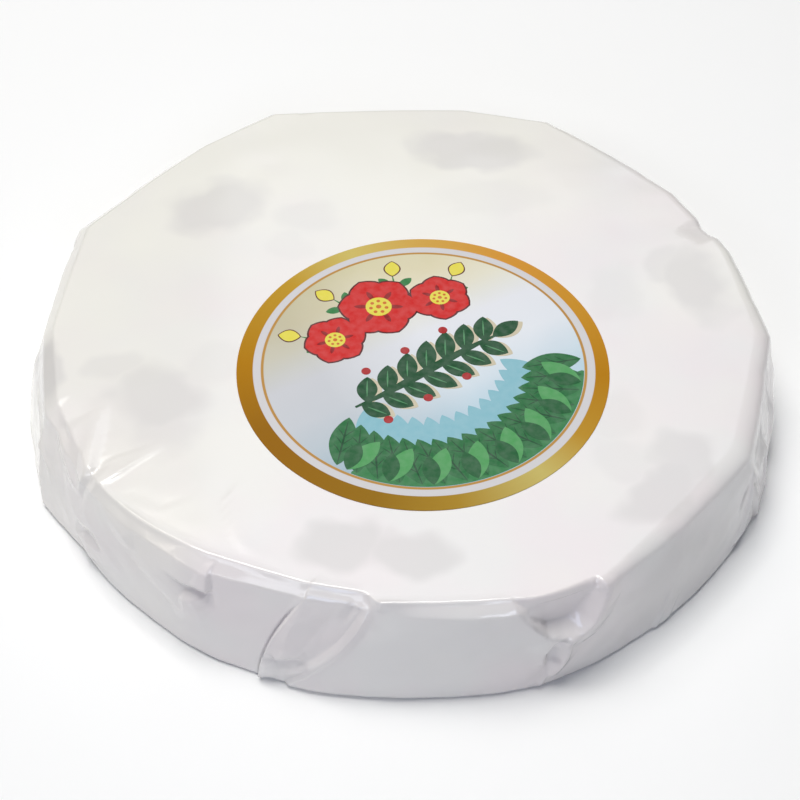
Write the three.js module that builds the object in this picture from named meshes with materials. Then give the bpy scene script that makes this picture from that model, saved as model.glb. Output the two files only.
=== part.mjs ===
// A wheel of brie of one kilogram, shut in glossy white cheese paper, with a round printed label on top.
// The paper is pulled tight over the round cheese, so its rim runs in straight stretches from corner to
// corner. At each corner the spare paper is folded over, and the fold line runs down the side to the foot.
// Millimetres, +Z up. The origin is the middle of the underside, and the label faces up.
import * as THREE from "three";

// The whole wheel
const wheelHeight = 30.5;
const footHeight = 1.4; // where the side turns under
const footTurn = 1.5; // how far in it has come when it lies flat
const restRadius = 84; // a ring on the flat underside
const middle = { x: 1.4, y: -0.2 }; // brings the middle of the whole outline, corners and all, to the origin

// The rim: a sloping band between an upper and a lower crease, crisp at the front and soft at the right
const bandDrop = 2.7;
const bandRows = 4;
const softestAngle = 20;

// The side
const bellyOut = 0.7; // the cheese swells the side between rim and foot
const rimBulge = 0.15; // share of each chord's sag that the cheese fills, at the rim and at the foot
const footBulge = 0.9;
const sideRows = 10;

// The top, flat where the label lies
const flatRadius = 73;
const topRows = 4;

// The folds
const foldHalfGap = 0.22; // half the width of the step at a fold line
const lapReach = 0.55; // share of the stretch over which the upper layer settles back
const lapFade = 0.13; // how gradually a lap starts and ends, as a share of the side
const columnSpacing = 3.6;

// The label
const labelRadius = 50.5;
const labelThickness = 0.2;
const labelCentre = { x: 5, y: -17.5 };
const labelSegments = 120;

// Each fold, counter-clockwise from the left. at is its angle at the rim, lean how far round it has gone at
// the foot, and bow how much of that comes early. rim and foot are the corner's radii there, and band the
// width of the sloping band at the rim. lap is how far the upper layer stands off, on the counter-clockwise
// side, or on the other side where it is negative, and from and to say how far down the side it does so,
// the rim being 0 and the foot 1.
const folds = [
  { at: -178, lean: 1, bow: 0.0, rim: 100.6, foot: 108.2, band: 3.0, lap: 0.7, from: 0.3, to: 2 },
  { at: -161, lean: 4, bow: 0.0, rim: 101.2, foot: 107.0, band: 4.0, lap: 0.9, from: 0.2, to: 2 },
  { at: -144, lean: -2, bow: 0.0, rim: 100.0, foot: 103.8, band: 4.6, lap: -0.8, from: 0.7, to: 2 },
  { at: -121, lean: -2.5, bow: -0.5, rim: 98.3, foot: 103.8, band: 4.6, lap: -1.5, from: 0, to: 0.4 },
  { at: -104.6, lean: -6, bow: 0.9, rim: 95.6, foot: 103.6, band: 3.2, lap: 1.3, from: 0.15, to: 2 },
  { at: -95.7, lean: -11, bow: -0.35, rim: 95.8, foot: 103.4, band: 2.4, lap: 1.0, from: 0.1, to: 2 },
  { at: -61, lean: -9.5, bow: -0.15, rim: 102.3, foot: 105.6, band: 4.0, lap: 1.0, from: 0.1, to: 2 },
  { at: -46, lean: -4, bow: 0.0, rim: 100.3, foot: 104.6, band: 5.5, lap: 0.7, from: 0.6, to: 2 },
  { at: -29, lean: 3, bow: 0.0, rim: 102.4, foot: 106.2, band: 5.5, lap: 0.9, from: 0.3, to: 2 },
  { at: -3, lean: -2, bow: 0.0, rim: 101.9, foot: 105.6, band: 4.4, lap: -0.7, from: 0.3, to: 2 },
  { at: 17, lean: 2, bow: 0.3, rim: 100.1, foot: 105.0, band: 3.4, lap: 1.0, from: 0.1, to: 2 },
  { at: 34, lean: -3, bow: 0.0, rim: 99.2, foot: 104.6, band: 3.4, lap: -0.9, from: 0.4, to: 2 },
  { at: 63, lean: 4, bow: -0.4, rim: 102.7, foot: 105.6, band: 3.4, lap: 1.3, from: 0.1, to: 2 },
  { at: 79, lean: -4, bow: 0.0, rim: 99.7, foot: 104.6, band: 3.0, lap: -0.9, from: 0, to: 0.7 },
  { at: 114, lean: 4, bow: 0.3, rim: 105.0, foot: 106.6, band: 3.4, lap: 1.3, from: 0.1, to: 2 },
  { at: 129, lean: -4, bow: 0.0, rim: 101.9, foot: 105.0, band: 3.0, lap: -0.8, from: 0.5, to: 2 },
  { at: 157.5, lean: 3, bow: 0.2, rim: 104.6, foot: 107.2, band: 3.4, lap: 1.2, from: 0.1, to: 2 },
];

// Smaller creases: at is the angle of the middle, down the distance below the rim measured along the paper,
// negative on the top, turn the way it runs, from level, length and width its half sizes, out its height.
const creases = [
  { at: -68, down: 4.5, turn: 12, length: 12, width: 5.5, out: -2.2 },
  { at: -63.5, down: 8, turn: -50, length: 9, width: 3.0, out: 1.4 },
  { at: -67.5, down: 17, turn: 115, length: 7, width: 2.6, out: -1.4 },
  { at: -121, down: 9, turn: 80, length: 9, width: 4.0, out: 1.2 },
  { at: -123, down: 15, turn: 20, length: 7, width: 2.5, out: -1.5 },
  { at: -108, down: 24, turn: 15, length: 8, width: 2.8, out: 1.0 },
  { at: -145.5, down: 22, turn: 70, length: 5, width: 2.5, out: 1.1 },
  { at: -144, down: -9, turn: 85, length: 11, width: 3.0, out: 0.7 },
  { at: -156, down: 2, turn: 60, length: 14, width: 5.0, out: -1.0 },
  { at: -49.5, down: 24, turn: 110, length: 6, width: 2.2, out: 1.0 },
  { at: -25, down: 16, turn: 65, length: 13, width: 3.5, out: -1.2 },
  { at: -12, down: 12, turn: 100, length: 12, width: 3.5, out: 1.0 },
  { at: 24, down: 3, turn: 75, length: 12, width: 5.0, out: -1.8 },
  { at: 58, down: 10, turn: 120, length: 11, width: 4.0, out: -1.4 },
  { at: 85, down: 18, turn: 50, length: 10, width: 3.5, out: 1.1 },
  { at: 109, down: 8, turn: 75, length: 12, width: 4.5, out: -1.5 },
  { at: 136, down: 14, turn: 110, length: 12, width: 4.0, out: 1.1 },
  { at: 162, down: 9, turn: 70, length: 11, width: 4.5, out: -1.3 },
];

const mix = THREE.MathUtils.lerp;
const radians = THREE.MathUtils.degToRad;
const meanRadius = folds.reduce((sum, fold) => sum + fold.rim, 0) / folds.length;

function polar(radius, angle) {
  return new THREE.Vector2(radius * Math.cos(radians(angle)), radius * Math.sin(radians(angle)));
}

function angleOf(point) {
  return THREE.MathUtils.radToDeg(Math.atan2(point.y, point.x));
}

// The width of the sloping band at a column
function bandWidth(column) {
  return mix(column.from.band, column.to.band, column.share);
}

// How soft the rim is at an angle: 0 for two crisp creases, 1 for one round turn
function softness(angle) {
  return THREE.MathUtils.smoothstep(Math.cos(radians(angle - softestAngle)), 0, 0.5);
}

// The point of a fold line, down being 0 at the rim and 1 at the foot
function foldPoint(fold, down, inset) {
  const along = down + fold.bow * down * (1 - down);
  return polar(mix(fold.rim, fold.foot, down) - inset, fold.at + fold.lean * along);
}

// The paper between two folds: a chord that the cheese pushes out
function stretchPoint(column, down, inset) {
  const from = foldPoint(column.from, down, inset);
  const to = foldPoint(column.to, down, inset);
  const sag = (1 - Math.cos(from.angleTo(to) / 2)) * meanRadius;
  const point = from.clone().lerp(to, column.share);
  const out = 4 * column.share * (1 - column.share) * sag * mix(rimBulge, footBulge, down);
  return point.setLength(point.length() + out);
}

// How far a fold's upper layer stands off at its line
function lapAt(fold, down) {
  const started = THREE.MathUtils.smoothstep(down, fold.from - lapFade, fold.from + lapFade);
  const ended = THREE.MathUtils.smoothstep(down, fold.to - lapFade, fold.to + lapFade);
  return fold.lap * started * (1 - ended);
}

// How far the folded layers stand off at a column
function lapHeight(column, down) {
  const ahead = Math.max(0, lapAt(column.from, down)) * Math.max(0, 1 - column.share / lapReach);
  const behind = Math.max(0, -lapAt(column.to, down)) * Math.max(0, 1 - (1 - column.share) / lapReach);
  return ahead + behind;
}

// The smaller creases, as long low ridges and hollows with straight flanks
function creaseHeight(angle, below) {
  let height = 0;
  for (const crease of creases) {
    const turned = ((angle - crease.at + 540) % 360) - 180;
    const level = radians(turned) * meanRadius;
    const drop = below - crease.down;
    const cos = Math.cos(radians(crease.turn));
    const sin = Math.sin(radians(crease.turn));
    const along = Math.abs(level * cos + drop * sin) / crease.length;
    const across = Math.abs(drop * cos - level * sin) / crease.width;
    height += crease.out * Math.max(0, 1 - along) * Math.max(0, 1 - across);
  }
  return height;
}

// The rows of the paper, from the middle of the underside round the side to the middle of the top. Each
// gives the point of a column.
const rows = [];

rows.push(() => new THREE.Vector3(0, 0, 0));

rows.push((column) => {
  const under = polar(restRadius, angleOf(stretchPoint(column, 1, 0)));
  return new THREE.Vector3(under.x, under.y, 0);
});

rows.push((column) => {
  const under = stretchPoint(column, 1, footTurn);
  return new THREE.Vector3(under.x, under.y, 0);
});

for (let i = 0; i <= sideRows; i++) {
  const down = 1 - i / sideRows;
  rows.push((column) => {
    const point = stretchPoint(column, down, 0);
    const below = down * (wheelHeight - bandDrop - footHeight);
    const belly = bellyOut * Math.sin(Math.PI * down);
    const out = belly + lapHeight(column, down) + creaseHeight(angleOf(point), below);
    point.setLength(point.length() + out);
    return new THREE.Vector3(point.x, point.y, wheelHeight - bandDrop - below);
  });
}

// The band blends a straight slope, where the rim is crisp, with a quarter round, where it is soft
for (let i = 1; i <= bandRows; i++) {
  const turn = (i / bandRows) * (Math.PI / 2);
  rows.push((column) => {
    const soft = softness(angleOf(stretchPoint(column, 0, 0)));
    const inset = mix(i / bandRows, 1 - Math.cos(turn), soft) * bandWidth(column);
    const rise = mix(i / bandRows, Math.sin(turn), soft) * bandDrop;
    const point = stretchPoint(column, 0, inset);
    const out = creaseHeight(angleOf(point), -inset);
    return new THREE.Vector3(point.x, point.y, wheelHeight - bandDrop + rise + out * (i / bandRows))
      .addScaledVector(new THREE.Vector3(point.x, point.y, 0).normalize(), out * (1 - i / bandRows));
  });
}

for (let i = 1; i <= topRows; i++) {
  rows.push((column) => {
    const width = bandWidth(column);
    const rim = stretchPoint(column, 0, width);
    const point = rim.clone().setLength(mix(rim.length(), flatRadius, i / topRows));
    const out = i < topRows ? creaseHeight(angleOf(point), point.length() - rim.length() - width) : 0;
    return new THREE.Vector3(point.x, point.y, wheelHeight + out);
  });
}

rows.push(() => new THREE.Vector3(0, 0, wheelHeight));

// The columns: close beside each fold line, and evenly spaced along the stretches
function makeColumns() {
  const columns = [];
  folds.forEach((from, i) => {
    const to = folds[(i + 1) % folds.length];
    const length = foldPoint(from, 0, 0).distanceTo(foldPoint(to, 0, 0));
    const steps = Math.ceil(length / columnSpacing);
    const edge = foldHalfGap / length;
    for (let step = 0; step <= steps; step++) {
      columns.push({ from, to, share: mix(edge, 1 - edge, step / steps) });
    }
  });
  return columns;
}

// The paper's outer form is a lathe, with each of its points then set on the folded surface
function makeWrappedWheel() {
  const columns = makeColumns();
  const profile = rows.map((row) => {
    const point = row(columns[0]);
    return new THREE.Vector2(Math.hypot(point.x, point.y), point.z);
  });
  const geometry = new THREE.LatheGeometry(profile, columns.length);
  const position = geometry.getAttribute("position");
  for (let i = 0; i <= columns.length; i++) {
    const column = columns[i % columns.length];
    rows.forEach((row, j) => {
      const point = row(column);
      position.setXYZ(i * rows.length + j, point.x, point.y, point.z);
    });
  }
  geometry.computeVertexNormals();
  return geometry;
}

const wheel = new THREE.Group();
wheel.position.set(middle.x, middle.y, 0);

const paper = new THREE.MeshStandardMaterial({ color: 0xf1eeea, roughness: 0.38, metalness: 0 });
const wrappedWheel = new THREE.Mesh(makeWrappedWheel(), paper);
wrappedWheel.name = "wrapped_wheel";
wheel.add(wrappedWheel);

const printedPaper = new THREE.MeshStandardMaterial({ color: 0xc98f2a, roughness: 0.32, metalness: 0 });
const label = new THREE.Mesh(
  new THREE.CylinderGeometry(labelRadius, labelRadius, labelThickness, labelSegments),
  printedPaper,
);
label.name = "label";
label.rotation.x = Math.PI / 2;
label.position.set(labelCentre.x, labelCentre.y, wheelHeight + labelThickness / 2);
wheel.add(label);

export default wheel;
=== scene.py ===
import math

import bpy
import numpy as np
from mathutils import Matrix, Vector
from mathutils.geometry import delaunay_2d_cdt


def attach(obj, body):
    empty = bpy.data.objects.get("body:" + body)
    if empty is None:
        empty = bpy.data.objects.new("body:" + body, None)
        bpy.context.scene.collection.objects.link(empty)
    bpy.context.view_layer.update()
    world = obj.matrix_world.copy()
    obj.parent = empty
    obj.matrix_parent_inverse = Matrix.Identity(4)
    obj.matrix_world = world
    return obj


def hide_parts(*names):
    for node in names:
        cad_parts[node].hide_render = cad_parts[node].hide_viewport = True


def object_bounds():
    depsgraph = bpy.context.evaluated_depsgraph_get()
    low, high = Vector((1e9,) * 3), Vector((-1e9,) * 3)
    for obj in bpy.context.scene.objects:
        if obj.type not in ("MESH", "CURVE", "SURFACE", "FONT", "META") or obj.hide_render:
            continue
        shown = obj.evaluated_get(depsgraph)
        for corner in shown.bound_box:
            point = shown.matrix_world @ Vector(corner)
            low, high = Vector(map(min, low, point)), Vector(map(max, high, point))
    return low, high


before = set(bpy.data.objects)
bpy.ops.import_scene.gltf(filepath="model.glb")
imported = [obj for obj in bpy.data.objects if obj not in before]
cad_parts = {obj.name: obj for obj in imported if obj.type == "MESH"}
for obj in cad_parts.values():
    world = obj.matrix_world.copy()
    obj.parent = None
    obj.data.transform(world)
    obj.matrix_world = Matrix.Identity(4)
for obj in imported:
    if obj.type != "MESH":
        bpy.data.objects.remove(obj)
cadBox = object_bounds()
mm = 0.001
print("frame loaded")


# Helpers

def linear(hexColor, alpha=1.0):
    # sRGB hex to the linear values that a shader socket takes
    channels = [int(hexColor[i:i + 2], 16) / 255 for i in (1, 3, 5)]
    return [c / 12.92 if c <= 0.04045 else ((c + 0.055) / 1.055) ** 2.4 for c in channels] + [alpha]


def newMaterial(name):
    material = bpy.data.materials.new(name)
    material.use_nodes = True
    material.node_tree.nodes.clear()
    return material


def addNode(material, kind, settings=None, links=None, **fields):
    # settings go by input name or number, links by input to (node, output)
    node = material.node_tree.nodes.new(kind)
    for field, value in fields.items():
        setattr(node, field, value)
    for key, value in (settings or {}).items():
        node.inputs[key].default_value = value
    for key, (source, output) in (links or {}).items():
        material.node_tree.links.new(source.outputs[output], node.inputs[key])
    return node


def smoothStep(value, low, high):
    t = np.clip((value - low) / (high - low), 0, 1)
    return t * t * (3 - 2 * t)


def pickOnly(piece):
    bpy.ops.object.select_all(action="DESELECT")
    piece.select_set(True)
    bpy.context.view_layer.objects.active = piece


def turnedAngle(angle):
    return (angle + 180) % 360 - 180


# Camera and light

view = {
    "elevation": 47.8,  # degrees above the floor
    "distance": 444.4,  # mm
    "aim": (0.2, -3.2, 0.0),  # mm, on the floor plane
    "lens": 68.3,
}


def makeCamera():
    lift = math.radians(view["elevation"])
    aim = Vector(view["aim"]) * mm
    away = Vector((0, -math.cos(lift), math.sin(lift))) * view["distance"] * mm
    camera = bpy.data.objects.new("camera", bpy.data.cameras.new("camera"))
    camera.data.lens = view["lens"]
    camera.data.clip_start = 0.01
    camera.location = aim + away
    camera.rotation_euler = (math.pi / 2 - lift, 0, 0)
    bpy.context.collection.objects.link(camera)
    bpy.context.scene.camera = camera


studio = {
    "floorColor": "#f8f8f8",
    "floorSize": 8.0,
    "roomLight": 0.01,
    "roomColor": "#dfe8ff",
    "lights": [  # name, from (m), width and height (m), watts, colour
        ("overheadSoftbox", (-0.15, 0.12, 1.45), 0.8, 0.8, 15.5, "#fffffc"),
        ("backSoftbox", (-0.35, 0.40, 1.35), 0.7, 0.7, 4.0, "#fffaf6"),
        ("highBackSoftbox", (0.10, 0.95, 1.20), 0.7, 0.7, 2.1, "#f2f6ff"),
        ("leftSoftbox", (-0.60, -0.98, 0.92), 0.8, 0.24, 2.2, "#f2f6ff"),
        ("farLeftSoftbox", (-1.10, -0.44, 0.66), 0.2, 0.2, 0.4, "#fff4e6"),
        ("frontSoftbox", (-0.42, -1.36, 0.60), 0.3, 0.3, 1.3, "#cfdeff"),
        ("frontRightSoftbox", (0.38, -1.20, 0.85), 0.35, 0.35, 1.9, "#e8eeff"),
    ],
}


def makeStudio():
    bpy.ops.mesh.primitive_plane_add(size=studio["floorSize"])
    floor = bpy.context.active_object
    floor.name = "studioFloor"
    board = newMaterial("matt white studio board")
    surface = addNode(board, "ShaderNodeBsdfPrincipled", {
        "Base Color": linear(studio["floorColor"]),
        "Roughness": 0.9,
        "Specular IOR Level": 0.1,
    })
    addNode(board, "ShaderNodeOutputMaterial", links={"Surface": (surface, "BSDF")})
    floor.data.materials.append(board)

    for name, place, width, height, watts, color in studio["lights"]:
        lamp = bpy.data.lights.new(name, "AREA")
        lamp.shape = "RECTANGLE"
        lamp.size = width
        lamp.size_y = height
        lamp.energy = watts
        lamp.color = linear(color)[:3]
        box = bpy.data.objects.new(name, lamp)
        box.location = place
        box.rotation_euler = Vector(place).to_track_quat("Z", "Y").to_euler()
        bpy.context.collection.objects.link(box)

    world = bpy.data.worlds.new("studioRoom")
    world.use_nodes = True
    air = world.node_tree.nodes["Background"]
    air.inputs["Color"].default_value = linear(studio["roomColor"])
    air.inputs["Strength"].default_value = studio["roomLight"]
    bpy.context.scene.world = world
    bpy.context.scene.view_settings.view_transform = "Standard"
    bpy.context.scene.view_settings.look = "None"


makeCamera()
makeStudio()
print("camera, floor and lights made")


# The wrapped wheel: sizes in mm, angles in degrees counter-clockwise seen from above

wheel = {
    "height": 30.5,
    "middle": (1.4, -0.2),  # the wheel's own middle, from the middle of its outline
    "footHeight": 1.4,
    "footTurn": 1.5,  # how far the side turns in underneath
    "bandDrop": 2.7,  # height of the sloping band at the rim
    "softestAngle": -5,  # where the band is rounded most
    "softRange": (0.3, 0.55),  # cosines from there: first a flat band, past them a round one
    "tightStretches": {  # first fold: bulge at the rim, and the band's width at these shares of the stretch
        -144: (0.8, (0, 0.2, 0.4, 0.6, 0.8, 1), (2.4, 2.25, 2.35, 2.8, 3.4, 4.1)),
        -95.7: (1.2, (0, 0.03, 0.062, 0.117, 0.22, 0.377, 0.533, 0.62, 0.7, 0.755, 0.85, 0.925, 1),
                (2.9, 1.4, 0.4, 1.3, 2.4, 3.2, 3.15, 2.6, 2.2, 2.3, 2.8, 3.0, 2.9)),
    },
    "rimBulge": 0.15,  # of all other stretches: 0 is a straight chord, 1 follows the circle
    "footBulge": 0.9,
    "belly": 0.7,  # how far the side swells at mid height
    "pleat": 0.7,  # height of the overlaps underneath
    "underWave": 0.12,
    "margin": 0.06,  # kept from the box of the solid wheel
    "lapReach": 0.55,  # share of the stretch that a lap covers
    "lapFade": 0.13,  # share of the side's height over which a lap begins and ends
    "tuckWidth": 0.96,  # of the groove where the paper dives under a lap, and of its slope
    "tuckSlope": 0.6,
    "nearStep": 0.47,  # between columns on the side that is seen closest, and on the far side
    "farStep": 0.82,
    "nearEnd": -10,  # the stretches that start before this angle are near
    "edgeColumns": (0, 0.22, 0.5, 0.85),  # columns past the edge of each fold
    "underRows": (0.0, 0.1, 0.2, 0.32, 0.44, 0.56, 0.67, 0.77, 0.86, 0.94, 1.0),  # shares of the way out
    "footRows": ((30, 0.4), (60, 0.8)),  # turn in degrees, share of the relief
    "sideRows": 44,
    "bandRows": 8,
    # shares of the way in from the rim
    "topRows": (0.02, 0.05, 0.09, 0.14, 0.2, 0.27, 0.35, 0.44, 0.54, 0.65, 0.77, 0.89, 1.0),
    "flatRadius": 71,  # inside it the top is plain
    "plainRadii": (55, 35, 15, 0),
    "plainDrop": -50,  # stands for any place inside it
    "mergeGap": 0.002,
    "waves": [  # length, height on the side, height on the top
        (26.0, 0.16, 0.04),
        (9.0, 0.07, 0.01),
    ],
    "sideWaves": (-4, 1),  # drops between which the waves grow to those of the side
    "topWaves": (24, 30),  # distances from the rim over which they fade
}

# the folds, of which edge is half the width of the lap's step and tuck how far the paper dives under it
foldFields = ("at", "lean", "bow", "rim", "foot", "band", "lap", "from", "to", "edge", "tuck")
foldTable = [
    (-178, 1, 0.0, 100.6, 108.2, 3.0, 0.7, 0.3, 2, 0.3, 0.3),
    (-161, 4, 0.0, 101.2, 107.0, 4.0, 0.9, 0.2, 2, 0.3, 0.3),
    (-144, -2, 0.0, 100.0, 103.8, 2.4, 0.0, 0.7, 2, 0.6, 0.0),
    (-121, -2.5, -0.5, 98.3, 103.8, 4.1, 0.0, 0, 0.4, 0.6, 0.0),
    (-104.6, -6, 0.9, 95.6, 103.6, 2.9, 1.3, 0.15, 2, 0.12, 0.8),
    (-95.7, -11, -0.35, 95.8, 103.4, 2.9, 1.0, 0.1, 2, 0.7, 0.0),
    (-61, -9.5, -0.15, 102.3, 105.6, 2.9, 0.0, 0.1, 2, 0.9, 0.0),
    (-46, -4, 0.0, 100.3, 104.6, 5.5, 0.0, 0.6, 2, 0.6, 0.0),
    (-29, 3, 0.0, 102.4, 106.2, 5.5, 0.9, 0.3, 2, 0.5, 0.3),
    (-3, -2, 0.0, 101.9, 105.6, 4.4, -0.7, 0.3, 2, 0.2, 0.4),
    (17, 2, 0.3, 100.1, 105.0, 3.4, 1.0, 0.1, 2, 0.15, 0.6),
    (34, -3, 0.0, 99.2, 104.6, 3.4, -0.9, 0.4, 2, 0.3, 0.3),
    (63, 4, -0.4, 102.7, 105.6, 3.4, 1.3, 0.1, 2, 0.15, 0.7),
    (79, -4, 0.0, 99.7, 104.6, 3.0, -0.9, 0, 0.7, 0.3, 0.3),
    (114, 4, 0.3, 105.0, 106.6, 3.4, 1.3, 0.1, 2, 0.15, 0.7),
    (129, -4, 0.0, 101.9, 105.0, 3.0, -0.8, 0.5, 2, 0.3, 0.3),
    (157.5, 3, 0.2, 104.6, 107.2, 3.4, 1.2, 0.1, 2, 0.15, 0.6),
]
folds = [dict(zip(foldFields, row)) for row in foldTable]
meanRadius = sum(fold["rim"] for fold in folds) / len(folds)

# On the paper a place is (angle, drop): drop counts down the side from its upper edge, and is negative
# inwards over the rim and the top. The third number of each place below is how far it stands out.

# long low ridges and hollows: at, down, turn, length, width, out
creaseTable = [
    (-156, 2, 60, 14, 5.0, -0.7),
    (-49.5, 24, 110, 6, 2.2, 0.6),
    (-25, 16, 65, 13, 3.5, -1.0),
    (-12, 12, 100, 12, 3.5, 1.0),
    (24, 3, 75, 12, 5.0, -1.8),
    (58, 10, 120, 11, 4.0, -1.4),
    (85, 18, 50, 10, 3.5, 1.1),
    (109, 8, 75, 12, 4.5, -1.5),
    (136, 14, 110, 12, 4.0, 1.1),
    (162, 9, 70, 11, 4.5, -1.3),
]

# pressed lines: width on the right and on the left of who goes along it, then its places
lineTable = [
    # the sharp inner edge of the rim from the far left to the front folds
    (1.0, 1.2, [(-143.2, -2.5, 0), (-142, -2.4, 0.2), (-139, -2.3, 0.25), (-134.6, -2.4, 0.3),
        (-133, -2.5, 0.3), (-130.4, -2.9, 0.3), (-125.6, -3.6, 0.28), (-121, -4.1, 0.25),
        (-118, -3.9, 0.2), (-115, -3.7, 0.2), (-111, -3.3, 0.2), (-106.1, -2.9, 0)]),
    (0.7, 1.6, [(-105.4, -2.6, 0), (-104.4, -2.7, 0.2), (-101.1, -2.9, 0.2), (-97.5, -3.1, 0.2),
        (-96.2, -3.3, 0)]),
    # the outer edge of the rim, which runs out into the corner of the next fold, and then along the front
    (0.8, 0.8, [(-105, -0.9, 0), (-104, -0.9, 0.2), (-101, -0.9, 0.25), (-98.2, -0.7, 0.25),
        (-95.5, 0.5, 0.25)]),
    (0.7, 1.4, [(-95.0, 0.1, 0.1), (-93.5, -0.4, 0.22), (-91.6, -1.3, 0.22), (-87.9, -2.4, 0.22),
        (-82.2, -3.2, 0.22), (-76.6, -3.1, 0.25), (-73.3, -2.5, 0.1)]),
    (5.0, 2.8, [(-94.0, 0.8, 0.2), (-91, 0.4, 0.5), (-84, 0.3, 0.5), (-75.5, 0.3, 0.6),
        (-73.4, 0.6, 0.3)]),
    # the swollen shoulder of the left side, and the line where it turns down
    (4.0, 3.4, [(-141, 1.0, 0), (-139.1, 1.4, 0.3), (-136.7, 2.1, 0.6), (-134.5, 2.9, 0.8)]),
    (5.5, 7.0, [(-136.2, 2.4, 0), (-134.2, 3.1, 0.3), (-131, 5.0, 0.75), (-127.5, 7.2, 0.9),
        (-124.5, 9.5, 0.6), (-121.5, 11.5, 0.1)]),
    # the lap of the front left fold, whose lit strip rises from its edge
    (2.6, 8.0, [(-104.6, -0.4, 0), (-104.9, 1.5, 0.5), (-106.2, 8.4, 0.8), (-106.8, 12.5, 0.8),
        (-107.4, 15.5, 0.2)]),
    # the lit ridge of the next one, and the dent just beside its top
    (1.1, 2.2, [(-95.3, 0.5, 0.3), (-95.8, 2.1, 0.8), (-97.1, 6.0, 1.0), (-99.1, 11.1, 1.0),
        (-101.4, 15.3, 1.0), (-103.4, 19.3, 0.9), (-106.1, 22.7, 0.4)]),
    (2.4, 0.6, [(-96.6, 0.4, 0), (-97.4, 1.2, -0.6), (-98.3, 3.4, -0.45), (-99.1, 5.5, 0)]),
    # far left: two ridges that run down to one point, with a hollow beside them
    (3.4, 2.0, [(-160.3, -15.5, 0), (-155, -10.9, 0.55), (-150, -6.4, 0.95), (-147.4, -3.4, 1.05),
        (-145.8, -1.1, 0.9), (-146.4, 4.2, 0.4), (-146.8, 6.5, 0)]),
    (2.3, 2.3, [(-157.4, -0.8, 0), (-154, 1.0, 0.6), (-151.8, 2.0, 0.8), (-148.7, 3.8, 0.8),
        (-146.9, 5.2, 0)]),
    (1.6, 2.2, [(-146.6, -8.5, 0), (-145.2, -4.4, -0.35), (-144.4, -1.0, -0.5), (-145.5, 3.0, -0.4),
        (-146.2, 5.2, 0)]),
    (1.2, 1.6, [(-156.8, -2.5, 0), (-156, -2.3, -0.25), (-154, -2.1, -0.25), (-152.6, -2.4, 0)]),
    (1.4, 1.4, [(-173, 5.0, 0), (-169.9, 7.1, 0.5), (-162.8, 5.8, 0.6), (-156.7, 10.8, 0.6),
        (-153.5, 13.0, 0)]),
    # the flattened tuck that crosses the top on the left: a thin edge on each side
    (4.2, 1.2, [(-142.8, -18.5, 0), (-143, -15.5, 0.25), (-142.8, -11.1, 0.5), (-142.4, -6.6, 0.6),
        (-142.4, -3.4, 0.3)]),
    (1.2, 3.0, [(-143.6, -17.5, 0), (-144.8, -14.8, 0.15), (-145.3, -11.1, 0.22), (-145.4, -7.9, 0.25),
        (-144.4, -5.4, 0.25), (-143.3, -3.2, 0.1)]),
    # faint creases in the top
    (1.2, 2.0, [(-126.4, -28.0, 0), (-125, -22.0, 0.1), (-119.5, -12.3, 0.12), (-116.3, -8.5, 0.1),
        (-111, -6.7, 0)]),
    (1.5, 1.5, [(-139, -5.0, 0), (-137.7, -6.5, -0.06), (-132.7, -9.0, -0.08), (-130, -16.4, 0)]),
    # the fold that hangs from the front right corner
    (0.8, 1.3, [(-67.4, 11.2, 0.1), (-67.8, 14.0, 0.45), (-68.1, 17.3, 0.5), (-69.1, 20.4, 0.5),
        (-70.6, 23.6, 0.45), (-71.6, 25.8, 0.2)]),
    # low laps on the right
    (0.5, 3.5, [(-49.7, 16.0, 0), (-50.2, 18.5, 0.5), (-51.2, 22.5, 0.6), (-52.3, 25.8, 0.6)]),
    (1.1, 1.7, [(-27.4, 3.5, 0), (-28.1, 6.8, 0.6), (-29.2, 15.9, 1.0), (-30.9, 22.0, 1.0),
        (-33.3, 23.2, 0.8)]),
    (0.8, 0.8, [(-29.4, 7.5, 0), (-30.3, 9.7, -0.7), (-31.5, 12.5, -0.6), (-32.2, 15.0, 0)]),
    (1.0, 1.4, [(-19.0, 0.0, 0), (-21.5, 9.0, 0.6), (-22.6, 18.0, 0.7), (-24.5, 24.0, 0)]),
]

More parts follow.
